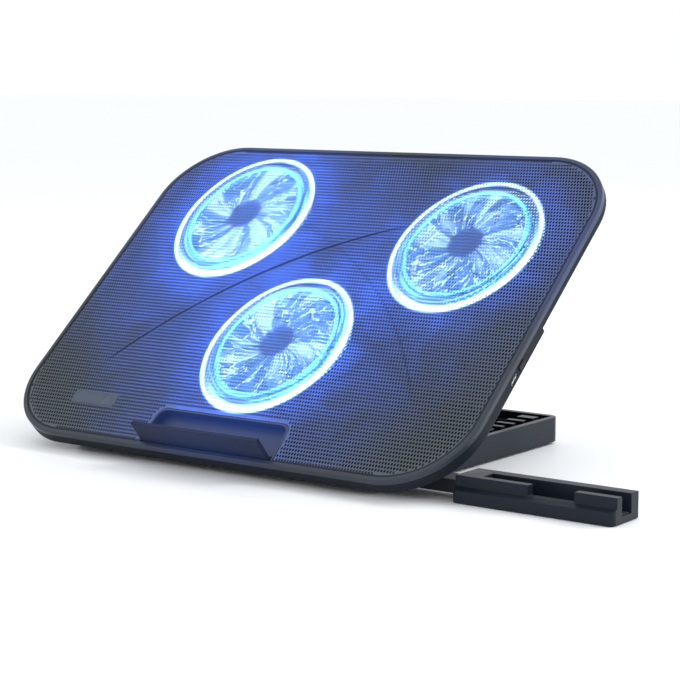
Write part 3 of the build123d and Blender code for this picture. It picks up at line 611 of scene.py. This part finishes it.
class HoleGrid:
    """Staggered rows of cells with a hole in each, fitted between the sheet's straight sides."""

    def __init__(self, low, high):
        self.low, self.high = low, high
        width = high.x - low.x - 2 * border
        depth = high.y - low.y - 2 * border
        self.columns, self.rows = int(width / hole_pitch - 0.5), int(depth / row_pitch)
        self.across, self.along = width / (self.columns + 0.5), depth / self.rows
        self.cells = {
            (column, row)
            for row in range(self.rows)
            for column in range(self.columns)
            if self.is_clear(self.outer_points(column, row))
        }

    def middle(self, column, row):
        """Middle of a cell."""
        shift = 0.5 * (row % 2)
        x = self.low.x + border + (column + 0.5 + shift) * self.across
        return x, self.low.y + border + (row + 0.5) * self.along

    def outer_points(self, column, row):
        """The cell's corners and the middles of its front and back, anticlockwise."""
        x, y = self.middle(column, row)
        half_x, half_y = self.across / 2, self.along / 2
        back = [(x + half_x, y + half_y), (x, y + half_y), (x - half_x, y + half_y)]
        return back + [(x - half_x, y - half_y), (x, y - half_y), (x + half_x, y - half_y)]

    def is_clear(self, points):
        """Whether a cell lies wholly on the sheet; the slack keeps the rows that touch the border."""
        slack = 0.01 * MM
        edge = (self.low, self.high, outline_corner, border - slack)
        return all(inside_rounded(*point, *edge) and not in_notch(*point, border) for point in points)

    def holds(self, x, y):
        """Whether a point is in one of the cells."""
        row = int((y - self.low.y - border) // self.along)
        shift = 0.5 * (row % 2)
        column = int((x - self.low.x - border - shift * self.across) // self.across)
        return (column, row) in self.cells

    def faces(self, column, row):
        """Faces of one cell round its hole, as loops of points."""
        x, y = self.middle(column, row)
        ring = []
        for side in range(hole_sides):
            angle = 2 * pi * (side + 0.5) / hole_sides
            ring.append((x + hole_half_width * cos(angle), y + hole_half_depth * sin(angle)))
        right_back, back, left_back, left_front, front, right_front = self.outer_points(column, row)
        return [
            (right_back, ring[1], ring[0]), (right_back, back, ring[1]), (back, ring[2], ring[1]),
            (back, left_back, ring[2]), (left_back, ring[3], ring[2]),
            (left_back, left_front, ring[4], ring[3]),
            (left_front, ring[5], ring[4]), (left_front, front, ring[5]), (front, ring[6], ring[5]),
            (front, right_front, ring[6]), (right_front, ring[7], ring[6]),
            (right_front, right_back, ring[0], ring[7]),
        ]


def point_key(point):
    """The same key for points that coincide."""
    return round(point[0] * 1e6), round(point[1] * 1e6)


def border_loops(grid):
    """Triangles of the plain metal between the outermost cells and the sheet's edge."""
    points = outline_loop(grid.low, grid.high, outline_corner) + notch_loop(grid.low.y)
    edges = [(index, (index + 1) % len(points)) for index in range(len(points))]
    sides = {}
    for cell in grid.cells:
        loop = grid.outer_points(*cell)
        for start, end in zip(loop, loop[1:] + loop[:1]):
            sides[point_key(start), point_key(end)] = (start, end)
    places = {}
    for (start_key, end_key), ends in sorted(sides.items()):
        if (end_key, start_key) in sides:
            continue
        for key, point in zip((start_key, end_key), ends):
            if key not in places:
                places[key] = len(points)
                points.append(point)
        edges.append((places[start_key], places[end_key]))
    flat, _, triangles, *_ = delaunay_2d_cdt([Vector(point) for point in points], edges, [], 0, 1e-7)
    loops = []
    for triangle in triangles:
        loop = [tuple(flat[index]) for index in triangle]
        x = sum(point[0] for point in loop) / 3
        y = sum(point[1] for point in loop) / 3
        on_sheet = inside_rounded(x, y, grid.low, grid.high, outline_corner, 0) and not in_notch(x, y)
        if on_sheet and not grid.holds(x, y):
            loops.append(loop)
    return loops


def make_sheet():
    """The perforated sheet, in strips that meet edge to edge."""
    low, high = pad_box("mesh_panel")
    grid = HoleGrid(low, high)
    loops = border_loops(grid)
    for cell in sorted(grid.cells):
        loops += grid.faces(*cell)
    paint = sheet_paint()
    strip_depth = (high.y - low.y) / strip_count
    strips = [[] for _ in range(strip_count)]
    for loop in loops:
        middle = sum(point[1] for point in loop) / len(loop)
        strips[min(int((middle - low.y) / strip_depth), strip_count - 1)].append(loop)
    thickness = high.z - low.z
    for index, strip in enumerate(strips):
        places, tops, faces = {}, [], []
        for loop in strip:
            face = []
            for x, y in loop:
                key = point_key((x, y))
                if key not in places:
                    places[key] = len(tops)
                    tops.append((x, y, high.z - crease_at(x, y)))
                face.append(places[key])
            faces.append(tuple(face))
        count = len(tops)
        points = tops + [(x, y, z - thickness) for x, y, z in tops]
        used = {}
        for face in faces:
            for start, end in zip(face, face[1:] + face[:1]):
                used[start, end] = True
        walls = [
            (start, start + count, end + count, end) for start, end in used if (end, start) not in used
        ]
        undersides = [tuple(point + count for point in reversed(face)) for face in faces]
        piece_from(
            f"perforated_sheet_{index + 1}",
            points,
            faces + undersides + walls,
            PAD,
            "pad",
            paint,
            ("mesh_panel",),
        )


# ------------------------------------------------------------------ fans
blade_count = 9
hub_radius = 16 * MM
hub_skirt = 1.5 * MM
hub_roof = 1.2 * MM
blade_tip = 48.2 * MM
blade_steps = 12
chord_steps = 8
blade_sweep = radians(34)
root_chord, tip_chord = 13 * MM, 17.5 * MM
root_pitch, tip_pitch = radians(27), radians(18)
blade_thickness = 1.1 * MM
blade_camber = 1.0 * MM
blade_overlap = 0.8 * MM  # how far a blade's root goes into the hub's wall
# half the thickness of a blade's edge, and what its middle adds, as a share of blade_thickness
blade_edge = 0.25
hub_round = 1.2 * MM
hub_bevel = 0.35 * MM
hub_hole = 0.3 * MM
# the shallow ring sunk in the hub's top, as distances in from the hub's side
sunk_outside = (4.0 * MM, 4.6 * MM)
sunk_inside = (10.5 * MM, 11.0 * MM)
sunk_depth = 0.35 * MM


def blade_side(middle, turn, upper):
    """Grid of points on one side of a blade, from hub to tip."""
    rows = []
    for step in range(blade_steps + 1):
        share = step / blade_steps
        radius = hub_radius - blade_overlap + share * (blade_tip - hub_radius + blade_overlap)
        chord = root_chord + share * (tip_chord - root_chord)
        pitch = root_pitch + share * (tip_pitch - root_pitch)
        row = []
        for position in range(chord_steps + 1):
            along = position / chord_steps - 0.5
            bulge = 1 - 4 * along * along
            height = along * chord * sin(pitch) + blade_camber * (bulge - 0.5)
            height += (1 if upper else -1) * blade_thickness * (blade_edge + blade_edge * bulge)
            angle = turn + blade_sweep * share**1.4 + along * chord * cos(pitch) / radius
            row.append((middle.x + radius * cos(angle), middle.y + radius * sin(angle), middle.z + height))
        rows.append(row)
    return rows


def add_blade(points, faces, middle, turn):
    """Adds one closed blade to a mesh in the making."""
    width = chord_steps + 1
    first = len(points)
    for upper in (False, True):
        for row in blade_side(middle, turn, upper):
            points.extend(row)
    side = (blade_steps + 1) * width
    for row in range(blade_steps):
        for column in range(chord_steps):
            low = first + row * width + column
            square = (low, low + 1, low + width + 1, low + width)
            faces.append(square)
            faces.append(tuple(point + side for point in reversed(square)))
    edge = [row * width for row in range(blade_steps + 1)]
    edge += [blade_steps * width + column for column in range(1, width)]
    edge += [row * width + chord_steps for row in range(blade_steps - 1, -1, -1)]
    edge += list(range(chord_steps - 1, 0, -1))
    for start, end in zip(edge, edge[1:] + edge[:1]):
        faces.append((first + start, first + end, first + end + side, first + start + side))


def make_rotor(name, paint):
    """Hub cup with curved, cambered blades."""
    low, high = pad_box("fan_rotor_" + name)
    middle = fan_middle(name)
    middle.z = (low.z + high.z) / 2
    roof = high.z - hub_roof
    profile = [
        (hub_radius - hub_skirt, low.z),
        (hub_radius, low.z),
        (hub_radius, high.z - hub_round),
        (hub_radius - hub_bevel, high.z - hub_bevel),
        (hub_radius - hub_round, high.z),
        (hub_radius - sunk_outside[0], high.z),
        (hub_radius - sunk_outside[1], high.z - sunk_depth),
        (hub_radius - sunk_inside[0], high.z - sunk_depth),
        (hub_radius - sunk_inside[1], high.z),
        (hub_hole, high.z),
        (hub_hole, roof),
        (hub_radius - hub_skirt, roof),
    ]
    points, faces = lathe(profile, middle, 96)
    for blade in range(blade_count):
        add_blade(points, faces, middle, 2 * pi * blade / blade_count)
    piece_from(
        f"rotor_{name}_blades", points, faces, PAD, "rotor_" + name, paint,
        (f"fan_rotor_{name}",), 35,
    )


ring_lines = [(49.8 * MM, 52.2 * MM), (53.8 * MM, 58.2 * MM)]
ring_floor = 1.0 * MM  # thickness between the raised lines
ring_ease = 0.3 * MM
cyan_outside = 52.4 * MM
white_inside = 53.4 * MM


def make_light_ring(name, paint):
    """Diffuser ring with its two raised lines."""
    low, high = pad_box("light_ring_" + name)
    middle = fan_middle(name)
    outside = (high.x - low.x) / 2
    shoulder = low.z + ring_floor
    profile = [(ring_lines[0][0], low.z), (outside, low.z), (outside, shoulder)]
    for inner, outer in reversed(ring_lines):
        profile += [
            (outer, shoulder), (outer, high.z - ring_ease), (outer - ring_ease, high.z),
            (inner + ring_ease, high.z), (inner, high.z - ring_ease), (inner, shoulder),
        ]
    points, faces = lathe(profile[:-1], middle, 160)
    piece_from(
        f"ring_{name}_diffuser", points, faces, PAD, "pad", paint,
        (f"light_ring_{name}",), 35,
    )


# ------------------------------------------------------------------ materials of the CAD nodes
def paint_nodes(material, *names):
    """Gives CAD nodes a material; a name with a star stands for the three fans' nodes."""
    for name in names:
        for node in [name.replace("*", fan) for fan in FANS] if "*" in name else [name]:
            data = nodes[node].data
            data.materials.clear()
            data.materials.append(material)


def paint_all():
    rim = moulded("rim_paint", (0.03, 0.038, 0.053), 0.36, gloss=0.34, lit=0.16)
    paint_nodes(rim, "top_bezel")
    paint_nodes(moulded("shell_paint", (0.0135, 0.018, 0.026), 0.46, gloss=0.08), "bottom_shell")
    paint_nodes(
        moulded("base_paint", (0.0105, 0.0155, 0.0245), 0.36, gloss=0.16),
        "base_frame", "base_cover", "phone_holder", "slide_arm", "support_strut",
        "notch_rack_left", "notch_rack_right",
    )
    paint_nodes(moulded("stop_paint", (0.018, 0.023, 0.04), 0.42, lit=0.12), "laptop_stop")
    paint_nodes(moulded("badge_paint", (0.085, 0.105, 0.145), 0.3, 500.0), "badge_plate")
    paint_nodes(moulded("button_paint", (0.02, 0.022, 0.027), 0.35), "light_button")
    paint_nodes(moulded("frame_paint", (0.02, 0.05, 0.14), 0.3), "fan_frame_*")
    paint_nodes(moulded("component_paint", (0.015, 0.015, 0.018), 0.4), "button_switch")
    paint_nodes(
        rubber_paint("foot_paint", (0.014, 0.014, 0.015)),
        "base_feet", "holder_feet", "slot_liner",
    )
    paint_nodes(rubber_paint("lead_paint", (0.02, 0.02, 0.022)), "fan_leads")
    paint_nodes(metal("screw_paint", (0.16, 0.16, 0.17), 0.35), "pad_screws", "base_screws")
    pins = metal("pin_paint", (0.6, 0.61, 0.63), 0.25, 900.0, (0.05, 1, 1))
    paint_nodes(pins, "hinge_pins", "strut_pins", "stop_pin")
    paint_nodes(metal("socket_paint", (0.72, 0.73, 0.75), 0.22), "power_socket")
    paint_nodes(metal("winding_paint", (0.72, 0.33, 0.14), 0.35, 2500.0, (1, 1, 6)), "motor_stator_*")
    paint_nodes(metal("bush_paint", (0.62, 0.42, 0.2), 0.45), "shaft_bush_*")
    paint_nodes(metal("magnet_paint", (0.1, 0.1, 0.11), 0.6), "rotor_magnet_*")
    paint_nodes(metal("shaft_paint", (0.6, 0.61, 0.63), 0.2), "rotor_shaft_*")
    paint_nodes(board_paint(), "control_board", "led_board_*")


def ring_paint(middle):
    """Lit diffuser: white outer line, cyan inner line and a dimmer web between them."""
    paint = Shader("ring_paint")
    radius = paint.radius(middle)
    patches = paint.noise(55.0, 2.0, 0.5)
    outer = paint.ramp(radius, 0.0, 1.0, white_inside - ring_ease, white_inside + ring_ease, True)
    inner = paint.ramp(radius, 1.0, 0.0, cyan_outside - ring_ease, cyan_outside + ring_ease, True)
    colour = paint.mix(outer, paint.mix(inner, LIGHT_BLUE, LIGHT_CYAN), LIGHT_WHITE)
    strength = paint.maths("MULTIPLY_ADD", outer, 0.4, paint.maths("MULTIPLY_ADD", inner, 0.6, 0.45))
    paint.set(
        Base_Color=paint.mix(patches, (0.55, 0.75, 0.8), (0.7, 0.85, 0.9)),
        Roughness=0.35,
        Emission_Color=colour,
        Emission_Strength=paint.maths("MULTIPLY", strength, paint.ramp(patches, 0.8, 1.2, 0.3, 0.7)),
    )
    return paint.material


# ------------------------------------------------------------------ the scene
set_camera()
set_studio()
paint_all()
make_sheet()
for fan in FANS:
    make_rotor(fan, blade_paint(fan_middle(fan), 5.0 * FANS.index(fan)))
    make_light_ring(fan, ring_paint(fan_middle(fan)))
